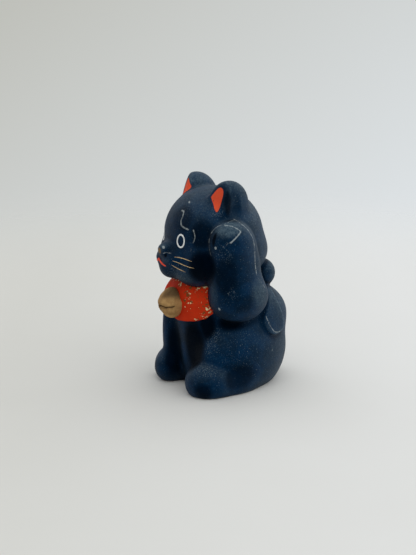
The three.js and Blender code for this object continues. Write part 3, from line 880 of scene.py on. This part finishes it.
# Painted shade: places darkened to near black where shade falls, and kept free of rub and dust: middle, half sizes
# and strength
paintedShadeZones = {
    "jaw": ((15.5, -17.0, 46.5), (6.5, 7, 8), 0.95),
    "muzzle": ((4.0, -22.5, 50.5), (4, 3, 3.5), 0.45),
    "temple": ((13.5, -16.0, 57.5), (6, 5, 7), 0.6),
    "belly": ((7.5, -17.0, 16.0), (6.5, 6, 13), 1.0),
    "besideHaunch": ((11.5, -14.0, 24.5), (3.4, 6, 6.5), 0.95),
    "shinSide": ((-3.5, -19.0, 13.0), (4, 5, 13), 0.8),
    "underElbow": ((17.0, -7.5, 25.5), (5.5, 8, 3.2), 0.85),
    "forearmFront": ((21.5, -11.5, 44.0), (5, 7, 9), 0.55),
    "elbow": ((24.0, -6.0, 34.5), (3.5, 6, 4), 0.35),
    "pawGroove": ((18.8, -14.0, 56.6), (0.9, 1.6, 3.4), 0.9),
    "toes": ((17.5, -17.5, 3.0), (4, 4.5, 4), 0.7),
    "lowSide": ((20.0, -4.0, 7.0), (5, 8, 5.5), 0.6),
    "footTop": ((17.0, -14.5, 8.5), (6, 6, 4.5), 0.25),
    "brow": ((4.5, -18.5, 61.5), (7, 5, 7), 0.5),
    "behindPaw": ((20.0, -7.5, 6.5), (3, 3.5, 5), 0.6),
    "earGroove": ((15.6, -7.4, 68.0), (1.9, 1.7, 6), 0.65),
    "nostril": ((3.0, -24.8, 49.3), (0.8, 0.9, 0.8), 1.0),
}
# Places where pale dust has settled into the grain, and places rubbed grey by hands that also carry painted highlight
dusted = {
    "haunchFront": ((13.6, -12.0, 19.0), (3, 4, 8), 0.8),
    "hindPawTop": ((15.0, -15.5, 9.8), (6, 5, 3), 0.85),
    "forearm": ((22.6, -9.5, 38.5), (2, 3, 3), 0.5),
    "palm": ((21.5, -12.0, 52.0), (4, 4, 4.5), 0.5),
    "underEar": ((14.0, -10.5, 65.0), (2.8, 2.5, 3), 0.9),
    "haunch": ((19.5, -3.0, 16.0), (4, 10, 9), 0.2),
    "chin": ((6.0, -22.0, 43.0), (7, 4, 4.5), 0.7),
    "forehead": ((4.0, -17.0, 65.0), (7, 6, 5), 0.3),
    "headBack": ((13.0, 5.0, 60.0), (6, 8, 9), 0.5),
}
handledAndHighlit = {
    "pawTop": ((20.5, -9.5, 60.0), (3.6, 5, 3.2), 0.75),
    "elbow": ((23.8, 1.5, 37.5), (3, 4.5, 6), 0.4),
    "earBack": ((14.5, -3.0, 70.0), (3.5, 4, 7), 0.15),
    "farEar": ((-9.0, -6.0, 71.0), (5, 4, 4), 0.4),
    "armFront": ((17.5, -13.0, 38.5), (2.5, 3, 6), 0.25),
    "chin": ((8.0, -20.5, 42.5), (6, 4, 3.5), 0.3),
}

# How the wear spreads. A pair is where it begins to change and where it ends.
wearSet = {
    "lineEdge": (0.2, 1.6),  # in widths of the line
    "placeEdge": (0.45, 1.15),  # in half sizes of the place
    "bendReach": 1.1,  # mm on either side over which a ridge is felt
    # How much is greyed, and the pair: rubbed on a ridge, painted highlight on what looks up and on what looks back
    "rubAndHighlight": {"ridge": (0.5, 0.22, 0.9), "upward": (0.4, 0.1, 1.0), "behind": (0.34, -0.2, 0.9)},
    "rubOpen": (0.4, 0.9),  # hands don't reach into a crease
    "openness": ((1.5, 0.3), (3, 0.35), (6, 0.35)),  # mm before the surface, and how much each counts
    "sole": (0.75, 0.95),  # how far a face of the foot looks down
    "soleTop": 1,
    "gold": {"middle": (0.3, -26, 50.6), "halfSize": (1.0, 1.5, 1.2), "edge": (0.6, 1.1), "strength": 0.8},
}


def lineDistance(p, line):  # distance of each point from a line of several stretches
    nearest = np.full(len(p), 1e3)
    for a, b in zip(np.array(line[:-1]), np.array(line[1:])):
        share = np.clip(((p - a) @ (b - a)) / ((b - a) @ (b - a)), 0, 1)
        nearest = np.minimum(nearest, np.linalg.norm(p - a - share[:, None] * (b - a), axis=1))
    return nearest


def smoothStep(value, low, high):
    share = np.clip((value - low) / (high - low), 0, 1)
    return share * share * (3 - 2 * share)


def bend(form, p, reach):  # how strongly the form curves at each point, over about that reach, per mm
    total = -6 * form(p)
    for axis in range(3):
        step = np.zeros(3, np.float32)
        step[axis] = reach
        total += form(p + step) + form(p - step)
    return total / reach**2


def openness(form, p, normals):  # 1 where nothing stands before the surface, less in a crease
    total = np.zeros(len(p))
    for reach, share in wearSet["openness"]:
        ahead = (p + reach * normals).astype(np.float32)
        total += share * np.clip(form(ahead) / reach, 0, 1)
    return total


def strongest(p, places):  # of soft-edged ovoid places
    total = np.zeros(len(p))
    for middle, halfSize, strength in places.values():
        reach = np.linalg.norm((p - middle) / halfSize, axis=1)
        total = np.maximum(total, strength * (1 - smoothStep(reach, *wearSet["placeEdge"])))
    return total


def surfaceLook(p, normals):
    scuffAndHighlight = np.zeros(len(p))
    start, end = wearSet["lineEdge"]
    for line, width, strength in wearAndHighlightLines.values():
        away = lineDistance(p, smoothLine(line, False, 4))
        scuffAndHighlight = np.maximum(scuffAndHighlight, strength * (1 - smoothStep(away, start * width, end * width)))
    # Rubbed wear on ridges, and painted highlight on faces that look up and back and in the handled places
    felt = {"ridge": bend(skinForm, p, wearSet["bendReach"]), "upward": normals[:, 2], "behind": normals[:, 1]}
    rubbedAndHighlit = np.zeros(len(p))
    for name, (share, low, high) in wearSet["rubAndHighlight"].items():
        rubbedAndHighlit += share * smoothStep(felt[name], low, high)
    clear = openness(skinForm, p, normals)
    gold = wearSet["gold"]
    fromGold = np.linalg.norm((p - gold["middle"]) / np.array(gold["halfSize"]), axis=1)
    return {
        "open": clear,
        # painted shade in the listed zones
        "paintedShade": strongest(p, paintedShadeZones),
        "dusty": strongest(p, dusted),
        "rubAndHighlight": np.clip(rubbedAndHighlit + strongest(p, handledAndHighlit), 0, 1) * smoothStep(clear, *wearSet["rubOpen"]),
        "scuffAndHighlight": scuffAndHighlight,
        "foot": smoothStep(-normals[:, 2], *wearSet["sole"]) * (p[:, 2] < wearSet["soleTop"]),
        "gold": gold["strength"] * (1 - smoothStep(fromGold, *gold["edge"])),
    }


def makeSkin():
    low, high = np.array(cadBox[0]) * 1000 - place, np.array(cadBox[1]) * 1000 - place
    margin = skinSet["margin"]
    step = skinSet["step"] * 1
    p, faces = netOver(skinForm, low - margin, high + margin, step)
    print("skin:", len(p), "points")
    allPoints, parts = cutByValue(p, faces, pieceValues(p))
    flat = allPoints[:, 2] < skinSet["foot"] / 2
    allPoints = np.where(flat[:, None], allPoints, settle(skinForm, allPoints, 2)).astype(np.float32)
    normals = unit(gradient(skinForm, allPoints))
    look = surfaceLook(allPoints, normals)
    for name, partFaces in parts.items():
        if name == "vent":
            continue
        shell, shellNormals, shellFaces, used = walled(allPoints, normals, partFaces, skinSet["wall"])
        values = {key: np.tile(value[used], 2) for key, value in look.items()}
        addPiece(name, meshOf(name, shell, shellFaces, shellNormals, values), blackPaint, [name], "black_paint")
    return allPoints, normals, faces


skinPoints, skinNormals, skinFaces = makeSkin()
# What the brush lines are laid on; it is removed at the end.
claySurface = newObject("claySurface", meshOf("claySurface", skinPoints, skinFaces.tolist()))
print("black clay made")

# Bib
bibShape = {
    "outline": [  # left half
        (0, 24.6), (4, 25), (8, 25.7), (10.9, 27), (12.9, 29.2), (14, 32), (13.9, 35.5), (12.2, 41.6),
    ],
    "thickness": 1.1,
    "thinTop": {"from": 34, "to": 39.5, "less": 0.8},  # it thins out under the chin
    "sunk": 0.3,  # into the clay behind it
    "edge": 0.9,  # rounding of its rim
    "frontFrom": -3.4,
    "clearance": 0.12,  # from the head and the arm
    "step": 0.3,
    "box": ((-15, -24, 22), (15, -3, 43)),  # of its net
    # Where the red is chipped, from and to in mm, and how much: the top, a patch at the middle, the lower rim
    "chippedTop": (36.6, 38.6),
    "chippedPatch": {"middle": (6.8, 34.0), "tallness": 1.9, "edge": (0.8, 2.8), "share": 0.7},
    "chippedRim": {"inwards": (0.6, 2.4), "across": (6, 10), "share": 0.55},
    "chippedSide": {"across": (5, 9), "share": 0.25},
}
dressedForm = blend(legShape["softness"], bodyForm, legForm)
bibOutline = bibShape["outline"] + [(-across, up) for across, up in bibShape["outline"][:0:-1]]


def bibForm(p):
    outline = outlineDistance(p[:, 0], p[:, 2], bibOutline)
    top = bibShape["thinTop"]
    thinned = top["less"] * np.clip((p[:, 2] - top["from"]) / (top["to"] - top["from"]), 0, 1)
    dressed = dressedForm(p)
    value = -softMin(-(dressed - (bibShape["thickness"] - thinned)), -outline, bibShape["edge"])
    value = np.maximum(value, -dressed - bibShape["sunk"])
    value = np.maximum(value, p[:, 1] - bibShape["frontFrom"])
    for neighbour in (headForm, armForm):
        value = np.maximum(value, -(neighbour(p) - bibShape["clearance"]))
    return value.astype(np.float32)


def bibWear(p):
    patch, rim, side = bibShape["chippedPatch"], bibShape["chippedRim"], bibShape["chippedSide"]
    fromPatch = np.hypot(p[:, 0] - patch["middle"][0], (p[:, 2] - patch["middle"][1]) / patch["tallness"])
    inwards = -outlineDistance(p[:, 0], p[:, 2], bibOutline)
    chips = smoothStep(p[:, 2], *bibShape["chippedTop"])
    chips += patch["share"] * (1 - smoothStep(fromPatch, *patch["edge"]))
    chips += rim["share"] * ((1 - smoothStep(inwards, *rim["inwards"])) * smoothStep(p[:, 0], *rim["across"]))
    chips += side["share"] * smoothStep(p[:, 0], *side["across"])
    return {"chips": np.clip(chips, 0, 1)}


def makeNetPiece(name, form, low, high, step, material, slot, look):
    p, faces = netOver(form, low, high, step)
    normals = unit(gradient(form, p))
    addPiece(name, meshOf(name, p, faces.tolist(), normals, look(p)), material, [name], slot)


makeNetPiece("bib", bibForm, *bibShape["box"], bibShape["step"], redPaint, "red_paint", bibWear)
print("bib made")

# Bell: two hand-pressed domes that meet in a crest, with a slit under it
bellShape = {
    "width": 10.2,
    "height": 11.2,
    "crestLift": 0.7,
    "fullness": (0.6, 0.85),  # roundness of the upper and of the lower dome
    "rise": 31.4,
    "proud": 0.9,  # past the face of the bib
    "slit": {"height": 0.42, "depth": 0.6, "side": 1.2},  # side: how far ahead of the middle it ends
    "slitDrop": 1.3,
    "slitWaves": ((0.24, 1.7), (0.1, 4.3)),  # height, and radians per mm
    "slitSoftness": 0.35,
    "unevenness": 0.16,
    "gap": 0.1,  # to the bib behind it
    "step": 0.2,
    "reach": 7,  # of the net from its middle
    # darker on the bell's upper side, and painted shade inside its slit
    "darkerTop": {"up": (0.8, 3.0), "across": (-1.5, 2.0), "share": 0.75},
    "slitShade": {"inwards": (5.0, 4.2), "height": 0.7, "share": 0.7},
}
bellMiddle = leavingPoint(lambda p: dressedForm(p) - bibShape["thickness"], (0, 0, bellShape["rise"]), forwards)
bellMiddle = bellMiddle + forwards * bellShape["proud"] + [0, 0, bellShape["crestLift"]]


def bellForm(p):
    x, y, z = (p - bellMiddle).T
    # Soft dents, a few millimetres across
    uneven = np.sin(1.1 * x + 0.6) * np.sin(0.9 * z + 1.2) + 0.6 * np.sin(1.7 * y + 2.1 * x)
    half = bellShape["width"] / 2 + bellShape["unevenness"] * uneven
    middle, crest = bellShape["height"] / 2, bellShape["crestLift"]
    rise = np.where(z > 0, middle - crest, middle + crest)
    lift = np.minimum(np.abs(z) / rise, 1)
    roundness = np.sqrt(np.maximum(1 - lift * lift, 1e-4))
    fullness = np.where(z > 0, *bellShape["fullness"])
    slope = half / rise * (fullness * lift / roundness + 1 - fullness)
    dome = np.hypot(x, y) - half * (fullness * roundness + (1 - fullness) * (1 - lift))
    dome = np.maximum(dome / np.sqrt(1 + slope * slope), np.abs(z) - rise)
    slitShape = bellShape["slit"]
    slitRise = -bellShape["slitDrop"]
    for height, turns in bellShape["slitWaves"]:
        slitRise = slitRise + height * np.sin(turns * x)
    slit = np.maximum(np.abs(z - slitRise) - slitShape["height"] / 2, -dome - slitShape["depth"])
    slit = np.maximum(slit, y + slitShape["side"])
    value = -softMin(-dome, slit, bellShape["slitSoftness"])
    return np.maximum(value, -(dressedForm(p) - bibShape["thickness"] + bellShape["gap"])).astype(np.float32)


def bellLook(p):
    x, y, z = (p - bellMiddle).T
    top, inSlit = bellShape["darkerTop"], bellShape["slitShade"]
    stain = top["share"] * (smoothStep(z, *top["up"]) * smoothStep(x, *top["across"]))
    near = np.abs(z + bellShape["slitDrop"]) < inSlit["height"]
    stain += inSlit["share"] * (smoothStep(np.hypot(x, y), *inSlit["inwards"]) * near)
    return {"stain": np.clip(stain, 0, 1)}


bellBox = (bellMiddle - bellShape["reach"], bellMiddle + bellShape["reach"])
makeNetPiece("bell", bellForm, *bellBox, bellShape["step"], clay, "bare_clay", bellLook)

# Base plate: a disc let into the foot, with the hole that lets steam out in the kiln
plateShape = {
    "radius": 12,
    "thickness": 3,
    "vent": 4.5,
    "rounding": 0.5,
    "waves": ((0.08, 3, 0.7), (0.05, 7, 0.0)),  # height, times round, and shift: it is cut by hand
    "step": 0.35,
    "box": ((-14, -14, -1), (14, 14, 5)),
    "stain": {"from": 9, "to": 12, "share": 0.35},
}


def plateForm(p):
    middle, half = (plateShape["radius"] + plateShape["vent"]) / 2, (plateShape["radius"] - plateShape["vent"]) / 2
    radial = np.hypot(p[:, 0], p[:, 1])
    for height, times, shift in plateShape["waves"]:
        radial = radial + height * np.sin(times * np.arctan2(p[:, 1], p[:, 0]) + shift)
    rise, rounding = plateShape["thickness"] / 2, plateShape["rounding"]
    away = np.stack([np.abs(radial - middle) - half, np.abs(p[:, 2] - rise) - rise], 1)
    away += rounding
    return (np.linalg.norm(np.maximum(away, 0), axis=1) + np.minimum(away.max(1), 0) - rounding).astype(np.float32)


def plateLook(p):
    stain = plateShape["stain"]
    return {"stain": stain["share"] * smoothStep(np.hypot(p[:, 0], p[:, 1]), stain["from"], stain["to"])}


makeNetPiece("base_plate", plateForm, *plateShape["box"], plateShape["step"], clay, "bare_clay", plateLook)
print("bell and base plate made")

# Red of the ears: a brushed leaf shape on each flat face, in the cat's x and z
earPaint = {
    "left_ear_red": [
        (12.1, 73.1), (13.0, 72.8), (13.8, 71.7), (14.1, 69.6), (14.1, 66.3), (14.0, 65.1), (12.9, 65.9), (11.4, 67.6),
        (9.8, 69.2), (9.5, 69.9), (10.2, 71.1), (11.1, 72.5),
    ],
    "right_ear_red": [
        (-12.0, 72.9), (-13.3, 70.6), (-13.5, 67.6), (-12.6, 65.2), (-10.2, 66.6), (-7.8, 68.8), (-7.4, 70.3),
        (-8.9, 72.1), (-10.6, 73.2),
    ],
    "near": {"across": 5, "up": 62, "facing": -0.3},  # the skin that can lie under it
    "thickness": 0.1,
    "lift": 0.07,
}


def makeEarPaint(name):
    side, near = 1 if name.startswith("left") else -1, earPaint["near"]
    p = skinPoints
    isNear = (side * p[:, 0] > near["across"]) & (p[:, 2] > near["up"]) & (skinNormals[:, 1] < near["facing"])
    used, faces = np.unique(skinFaces[isNear[skinFaces].all(1)], return_inverse=True)
    p = p[used]
    inside = outlineDistance(p[:, 0], p[:, 2], smoothLine(earPaint[name], True, 6))
    points, parts = cutByValue(p, faces.reshape(-1, 4), {"paint": inside, "clay": np.zeros(len(p))})
    points = settle(skinForm, points, 2)
    normals = unit(gradient(skinForm, points))
    points = points + earPaint["lift"] * normals
    shell, shellNormals, shellFaces, _ = walled(points, normals, parts["paint"], earPaint["thickness"])
    chips = {"chips": np.zeros(len(shell))}
    addPiece(name, meshOf(name, shell, shellFaces, shellNormals, chips), earRedPaintedLight, (), "red_paint")


for name in ("left_ear_red", "right_ear_red"):
    makeEarPaint(name)
print("ear paint made")


# Brush lines: each follows a curve over the clay, as a low ridge of paint that thins out at its ends.
strokeSet = {"spacing": 0.2, "sides": 12, "tip": 0.02}  # spacing: mm between its rings


def brushStrokeTree():
    tree = bpy.data.node_groups.new("brushStroke", "GeometryNodeTree")
    sockets = {"Curve": "Geometry", "Clay": "Object", "Spacing": "Float", "Width": "Float"}
    sockets.update({"Thickness": "Float", "Taper": "Float", "Paint": "Material"})
    for name, kind in sockets.items():
        tree.interface.new_socket(name=name, in_out="INPUT", socket_type="NodeSocket" + kind)
    tree.interface.new_socket(name="Stroke", in_out="OUTPUT", socket_type="NodeSocketGeometry")
    given = addNode(tree, "NodeGroupInput").outputs
    clayInfo = addNode(tree, "GeometryNodeObjectInfo", {"Object": given["Clay"]}, transform_space="ORIGINAL")
    ground = clayInfo.outputs["Geometry"]
    run = {"Curve": given["Curve"], "Length": given["Spacing"]}
    spaced = addNode(tree, "GeometryNodeResampleCurve", run, mode="LENGTH")
    nearest = addNode(tree, "GeometryNodeProximity", {0: ground}, target_element="FACES")
    laid = addNode(tree, "GeometryNodeSetPosition", {"Geometry": spaced, "Position": nearest})
    sample = {"Mesh": ground, "Value": addNode(tree, "GeometryNodeInputNormal").outputs[0]}
    outward = addNode(tree, "GeometryNodeSampleNearestSurface", sample, data_type="FLOAT_VECTOR")
    facing = addNode(tree, "GeometryNodeSetCurveNormal", {"Curve": laid, "Normal": outward}, mode="FREE")
    # 1 half-way along, and nearly nothing at both ends
    along = addNode(tree, "GeometryNodeSplineParameter").outputs["Factor"]
    left = addNode(tree, "ShaderNodeMath", {0: 1.0, 1: along}, operation="SUBTRACT")
    product = addNode(tree, "ShaderNodeMath", {0: along, 1: left}, operation="MULTIPLY")
    fullness = addNode(tree, "ShaderNodeMath", {0: product, 1: 4.0, 2: strokeSet["tip"]}, operation="MULTIPLY_ADD")
    eased = addNode(tree, "ShaderNodeMath", {0: fullness, 1: 0.5}, operation="POWER", use_clamp=True)
    thinned = addNode(tree, "ShaderNodeMix", {0: given["Taper"], 2: 1.0, 3: eased}, data_type="FLOAT")
    halfWidth = addNode(tree, "ShaderNodeMath", {0: given["Width"], 1: 0.5}, operation="MULTIPLY")
    size = addNode(tree, "ShaderNodeCombineXYZ", {"X": given["Thickness"], "Y": halfWidth, "Z": 1.0})
    circle = addNode(tree, "GeometryNodeCurvePrimitiveCircle", {"Resolution": strokeSet["sides"], "Radius": 1.0})
    profile = addNode(tree, "GeometryNodeTransform", {"Geometry": circle, "Scale": size})
    sweep = {"Curve": facing, "Profile Curve": profile, "Scale": thinned, "Fill Caps": True}
    tube = addNode(tree, "GeometryNodeCurveToMesh", sweep)
    smooth = addNode(tree, "GeometryNodeSetShadeSmooth", {"Geometry": tube})
    real = addNode(tree, "GeometryNodeRealizeInstances", {"Geometry": smooth})
    painted = addNode(tree, "GeometryNodeSetMaterial", {"Geometry": real, "Material": given["Paint"]})
    addNode(tree, "NodeGroupOutput", {"Stroke": painted})
    return tree


def setInputs(modifier, values):  # by the identifier of each named socket
    for item in modifier.node_group.interface.items_tree:
        if item.in_out == "INPUT" and item.name in values:
            modifier[item.identifier] = values[item.name]


brushStroke = brushStrokeTree()


def paintLines(name, lines, closed, brush, material, slot=None):  # as a plain mesh, riding on the body
    curve = bpy.data.curves.new(name + "_path", "CURVE")
    curve.dimensions = "3D"
    for points in lines:
        points = (smoothLine(points, closed, 8) + place) / 1000
        spline = curve.splines.new("POLY")
        spline.points.add(len(points) - 1)
        spline.points.foreach_set("co", np.hstack([points, np.ones((len(points), 1))]).ravel())
        spline.use_cyclic_u = closed
    path = newObject(name + "_path", curve)
    modifier = path.modifiers.new("brushStroke", "NODES")
    modifier.node_group = brushStroke
    given = {"Spacing": strokeSet["spacing"] / 1000, "Width": brush["width"] / 1000, "Taper": brush["taper"]}
    given.update({"Thickness": brush["thickness"] / 1000, "Clay": claySurface, "Paint": material})
    setInputs(modifier, given)
    graph = bpy.context.evaluated_depsgraph_get()
    mesh = bpy.data.meshes.new_from_object(path.evaluated_get(graph))
    mesh.name = name
    bpy.data.objects.remove(path)
    addPiece(name, mesh, material, (), slot)


def mirrored(points, side, midline):
    return [(x if side > 0 else 2 * midline - x, y, z) for x, y, z in points]


face = {
    "midline": -1.6,  # painted by hand, a little to the cat's right
    "eye": [
        (7.73, -19.86, 54.9), (7.55, -19.95, 55.9), (6.92, -20.13, 56.6), (6.11, -20.31, 56.8), (5.39, -20.67, 56.4),
        (4.76, -20.85, 55.5), (4.49, -20.94, 54.3), (4.85, -20.94, 53.3), (5.57, -20.76, 52.6), (6.29, -20.49, 52.4),
        (7.01, -20.13, 52.8), (7.55, -19.95, 53.7),
    ],
    "eyeBrush": {"width": 0.58, "thickness": 0.05, "taper": 0.0},
    "whiskers": [
        [
            (6.1, -23.0, 49.2), (6.7, -22.4, 49.2), (7.2, -21.8, 49.1), (7.8, -21.2, 49.0), (8.5, -20.7, 48.9),
            (9.5, -20.4, 48.8), (10.7, -20.1, 48.7), (11.7, -19.8, 48.6), (12.6, -19.5, 48.5),
        ],
        [
            (5.9, -23.7, 47.9), (6.5, -23.0, 47.7), (7.1, -22.4, 47.5), (7.7, -21.8, 47.2), (8.4, -21.2, 46.9),
            (9.4, -20.9, 46.7), (10.6, -20.5, 46.6), (11.6, -20.1, 46.4), (12.6, -19.7, 46.4), (13.5, -19.2, 46.3),
        ],
        [
            (5.5, -23.8, 46.4), (5.9, -23.1, 46.0), (6.4, -22.5, 45.6), (7.0, -21.9, 45.2), (7.9, -21.4, 44.9),
            (9.0, -21.0, 44.7), (10.1, -20.7, 44.5),
        ],
    ],
    "whiskerBrush": {"width": 0.25, "thickness": 0.07, "taper": 1.0},
    "mouth": [
        (-1.6, -25.2, 47.3), (-1.1, -25.2, 47.0), (-0.5, -25.2, 46.6), (0.2, -25.2, 46.3), (1.0, -25.2, 46.1),
        (1.7, -25.1, 45.9), (2.4, -25.0, 45.7), (3.1, -24.8, 45.6),
    ],
    "mouthBrush": {"width": 0.8, "thickness": 0.12, "taper": 0.5},
}
for sideName, side in (("left", 1), ("right", -1)):
    ring = mirrored(face["eye"], side, face["midline"])
    paintLines(sideName + "_eye_ring", [ring], True, face["eyeBrush"], eyeWhite)
    whiskers = [mirrored(points, side, face["midline"]) for points in face["whiskers"]]
    paintLines(sideName + "_whiskers", whiskers, False, face["whiskerBrush"], whiskerOchre)
mouth = mirrored(face["mouth"], -1, face["mouth"][0][0])[::-1] + face["mouth"][1:]
paintLines("mouth", [mouth], False, face["mouthBrush"], mouthRed, "red_paint")
print("face painted")

bpy.data.objects.remove(claySurface)
